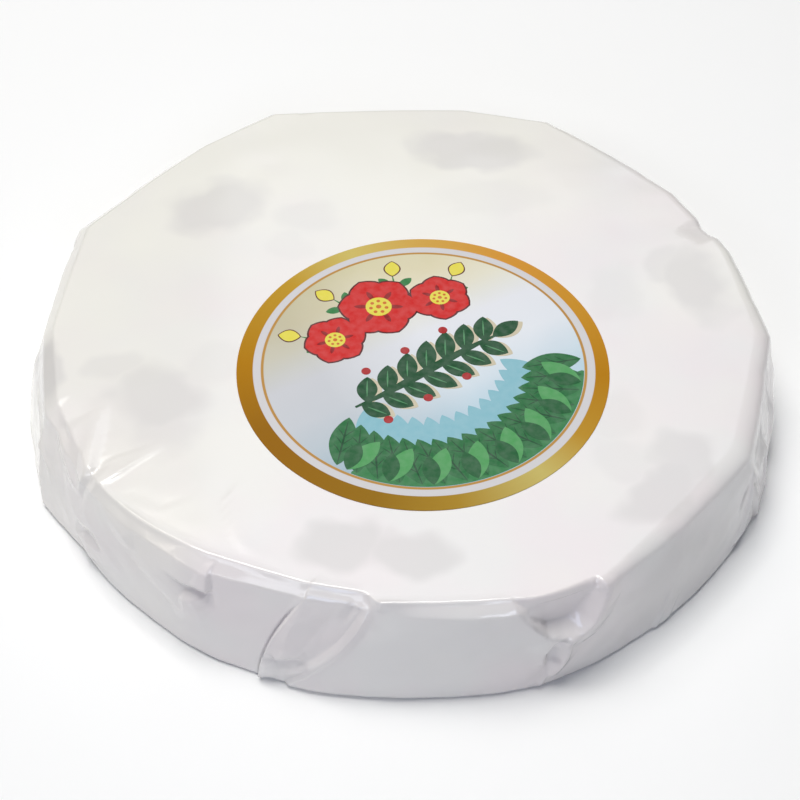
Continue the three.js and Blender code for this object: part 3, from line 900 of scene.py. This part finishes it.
def printInk(name, outlines):
    # each outline starts as a filled circle, whose points are moved to it before it gets the ink's thickness
    layer, color = inks["colors"][name]
    bpy.ops.object.select_all(action="DESELECT")
    bpy.ops.mesh.primitive_circle_add(vertices=len(outlines[0]), radius=mm, fill_type="NGON")
    ink = bpy.context.active_object
    ink.name = name
    bpy.ops.object.mode_set(mode="EDIT")
    for outline in outlines[1:]:
        bpy.ops.mesh.primitive_circle_add(vertices=len(outline), radius=mm, fill_type="NGON")
    bpy.ops.object.mode_set(mode="OBJECT")
    own = np.concatenate(outlines) + label["ringShift"]
    turn = math.radians(label["turn"])
    x, y = label["center"]
    # shapes of one ink that overlap lie a hair apart
    hairs = np.arange(len(outlines)) % inks["hairs"] * inks["hair"]
    level = label["top"] + inks["layerStep"] * layer
    places = np.column_stack([
        x + own[:, 0] * math.cos(turn) - own[:, 1] * math.sin(turn),
        y + own[:, 0] * math.sin(turn) + own[:, 1] * math.cos(turn),
        level + np.repeat(hairs, [len(outline) for outline in outlines])])
    ink.data.vertices.foreach_set("co", (places * mm).ravel())
    bpy.ops.object.mode_set(mode="EDIT")
    bpy.ops.mesh.select_all(action="SELECT")
    down = (0, 0, -(level - label["top"] + inks["foot"]) * mm)
    bpy.ops.mesh.extrude_region_move(TRANSFORM_OT_translate={"value": down})
    bpy.ops.mesh.select_all(action="SELECT")
    bpy.ops.mesh.normals_make_consistent(inside=False)
    bpy.ops.object.mode_set(mode="OBJECT")
    ink.data.materials.append(makeInkMaterial(name, color))
    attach(ink, "root")


# broad leaves that fan in from the lower edge, over a paler row behind them; mm and degrees
garland = {
    "edgeGap": 0.15,  # from the thin line
    "groundArc": (-146, -34),
    "crown": -24.8,  # the ground's upper edge, its wave and the length of that
    "crownWave": 1.2,
    "crownLength": 5.2,
    # first, last and step round the label, how far out and how much lower the leaves start,
    # how they turn along the row, length, width, and where they are widest
    "rows": {
        "paleLeaves": ((-148, -31, 9.0), 33.5, -1.5, 0.55, 0, 15.5, 6.6, 0.48),
        "broadLeaves": ((-152, -27, 7.75), 42.69975, 0, 0.9, 16, 16.5, 7.2, 0.5),
        "lightLeaves": ((-148, -31, 15.5), 42.69975, 0, 0.9, -20, 12.5, 5.6, 0.5),
        "darkLeaves": ((-148, -31, 15.5), 42.69975, 0, 0.9, 3, 9.5, 4.6, 0.5),
    },
}


def leafRow(name):
    # where each leaf starts, its direction, length, width and where it is widest
    arc, radius, lower, fan, tilt, length, width, widest = garland["rows"][name]
    leaves = []
    for angle in np.arange(*arc):
        turn = math.radians(angle)
        foot = (radius * math.cos(turn), radius * math.sin(turn) + lower)
        leaves.append((foot, 90 + (angle + 90) * fan + tilt, length, width, widest))
    return leaves


def leafVeins(place, direction, length, width, count=3):
    turn = math.radians(direction)
    ahead = np.array([math.cos(turn), math.sin(turn)])
    aside = np.array([-ahead[1], ahead[0]])
    start = np.array(place)
    veins = [strokeOutline([start + ahead * length * t for t in (0.02, 0.3, 0.6, 0.92)], 0.55)]
    for i in range(count):
        foot = start + ahead * length * (0.25 + 0.5 * i / count)
        for side in (1, -1):
            tip = foot + ahead * length * 0.16 + aside * side * width * 0.3
            veins.append(strokeOutline([foot, (foot + tip) / 2 + ahead * 0.2, tip], 0.32))
    return veins


def printGarland():
    limit = label["lineInside"] - garland["edgeGap"]
    arc = np.radians(np.linspace(*garland["groundArc"], 60))
    rim = np.column_stack([limit * np.cos(arc), limit * np.sin(arc)])
    crown = [(u, garland["crown"] + garland["crownWave"] * math.cos(u / garland["crownLength"]))
             for u in np.linspace(rim[-1][0] - 0.5, rim[0][0] + 0.5, 60)]
    printInk("garlandGround", [np.concatenate([rim, crown])])
    veins = [vein for leaf in leafRow("broadLeaves") for vein in leafVeins(*leaf[:4])]
    for name in garland["rows"]:
        printInk(name, [petalOutline(*leaf) for leaf in leafRow(name)])
        if name == "broadLeaves":
            printInk("leafVeins", veins)


# one dark sprig with pairs of broad leaves, and its soft beige shadow; mm and degrees
sprig = {
    "from": -24,
    "to": 23,
    "low": -3.0,  # the stem's middle, and how much it rises over bend
    "rise": 2.0,
    "bend": 24,
    "stemWidth": 2.6,
    "pairs": (-20.5, 18.5, 7),  # first, last and number
    "leafLength": 11.6,
    "shorter": 0.12,  # towards both ends
    "upperLeaf": (0, 60, 1, 5.6),  # from the pair's place, direction, share of the length, width
    "lowerLeaf": (-1.6, -56, 0.94, 5.4),
    "endLeaf": (21.5, 10, 9.5, 5.0),
    "widest": 0.5,
    "berry": 1.3,
    "shadowShift": (0.9, -0.9),
}


def stemAt(u):
    return sprig["rise"] * math.sin(u / sprig["bend"] * math.pi * 0.5) + sprig["low"]


def printSprig():
    path = [(u, stemAt(u)) for u in np.linspace(sprig["from"], sprig["to"], 15)]
    shapes, berries, veins = [], [], []
    for i, u in enumerate(np.linspace(*sprig["pairs"])):
        v = stemAt(u)
        length = sprig["leafLength"] - abs(u) * sprig["shorter"]
        for shift, direction, share, width in (sprig["upperLeaf"], sprig["lowerLeaf"]):
            shapes.append(petalOutline((u + shift, v), direction, length * share, width, sprig["widest"]))
        veins.append(strokeOutline([(u + 1.0, v + 1.7), (u + 2.4, v + 4.2), (u + 3.9, v + 6.8)], 0.5))
        veins.append(strokeOutline([(u - 0.6, v - 1.7), (u + 0.9, v - 4.0), (u + 2.5, v - 6.4)], 0.5))
        if i % 2:
            berries.append(discOutline((u - 1.2, v + 9.6), sprig["berry"], 16))
            berries.append(discOutline((u - 4.6, v - 8.6), sprig["berry"], 16))
    u, direction, length, width = sprig["endLeaf"]
    shapes.append(petalOutline((u, stemAt(u)), direction, length, width, sprig["widest"]))
    printInk("sprigShadow", [shape + sprig["shadowShift"] for shape in shapes])
    printInk("darkSprig", shapes)
    printInk("sprigStem", [strokeOutline(path, sprig["stemWidth"])])
    printInk("sprigBerries", berries)
    printInk("sprigVeins", veins)


# three red blossoms with yellow hearts over buds and small leaves; mm and degrees
flowers = {
    # place, reach, tilt
    "blossoms": [((0, 25.0), 11.2, 90), ((-16.8, 19.6), 8.6, 110), ((16.8, 19.6), 8.6, 70)],
    "petals": 6,
    "petalWidth": 0.86,  # this and the next values go with the blossom's reach
    "shadeLength": 0.62,
    "shadeWidth": 0.13,
    "heart": 0.33,
    "stamens": 7,
    "stamenRing": 0.2,
    "stamen": 0.05,
    "middleStamen": 0.07,
    "outline": 0.35,
    # place, direction
    "buds": [((-9.6, 34.0), 118), ((9.6, 34.0), 62), ((-24.6, 25.6), 145), ((24.6, 25.6), 35)],
    "budSize": (5.9, 4.2),
    "budOutline": (6.6, 5.0),
    "budLeaf": (6.4, 2.6),
    "budLeafTurn": 48,
    "budStem": 0.9,
}


def printFlowers():
    leaves, outline, red, shade, yellow, orange = [], [], [], [], [], []
    line = flowers["outline"]
    for (x, y), direction in flowers["buds"]:
        leaves.append(strokeOutline([(x * 0.62, y - 9), (x * 0.82, y - 4.5), (x, y)], flowers["budStem"]))
        for turn in (flowers["budLeafTurn"], -flowers["budLeafTurn"]):
            leaves.append(petalOutline((x * 0.8, y - 5), direction + turn, *flowers["budLeaf"]))
        back = math.radians(direction)
        foot = (x - line * math.cos(back), y - line * math.sin(back))
        outline.append(petalOutline(foot, direction, *flowers["budOutline"], 0.5))
        yellow.append(petalOutline((x, y), direction, *flowers["budSize"], 0.5))
    for place, reach, tilt in flowers["blossoms"]:
        width = reach * flowers["petalWidth"]
        for i in range(flowers["petals"]):
            direction = tilt + 360 / flowers["petals"] * i
            outline.append(petalOutline(place, direction, reach + 0.5, width + 0.9, 0.66))
            red.append(petalOutline(place, direction, reach, width, 0.66))
            shadeSize = (reach * flowers["shadeLength"], reach * flowers["shadeWidth"])
            shade.append(petalOutline(place, direction, *shadeSize, 0.7))
        outline.append(discOutline(place, reach * flowers["heart"] + line))
        yellow.append(discOutline(place, reach * flowers["heart"]))
        for i in range(flowers["stamens"]):
            turn = math.radians(360 / flowers["stamens"] * i + 12)
            ring = reach * flowers["stamenRing"]
            dot = (place[0] + ring * math.cos(turn), place[1] + ring * math.sin(turn))
            orange.append(discOutline(dot, reach * flowers["stamen"], 10))
        orange.append(discOutline(place, reach * flowers["middleStamen"], 12))
    printInk("blossomLeaves", leaves)
    printInk("blossomOutlines", outline)
    printInk("redPetals", red)
    printInk("petalShades", shade)
    printInk("yellowHearts", yellow)
    printInk("orangeStamens", orange)


disc = makeLabel()
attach(disc, "root")
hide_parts("label")
printGarland()
printSprig()
printFlowers()
print("label printed")
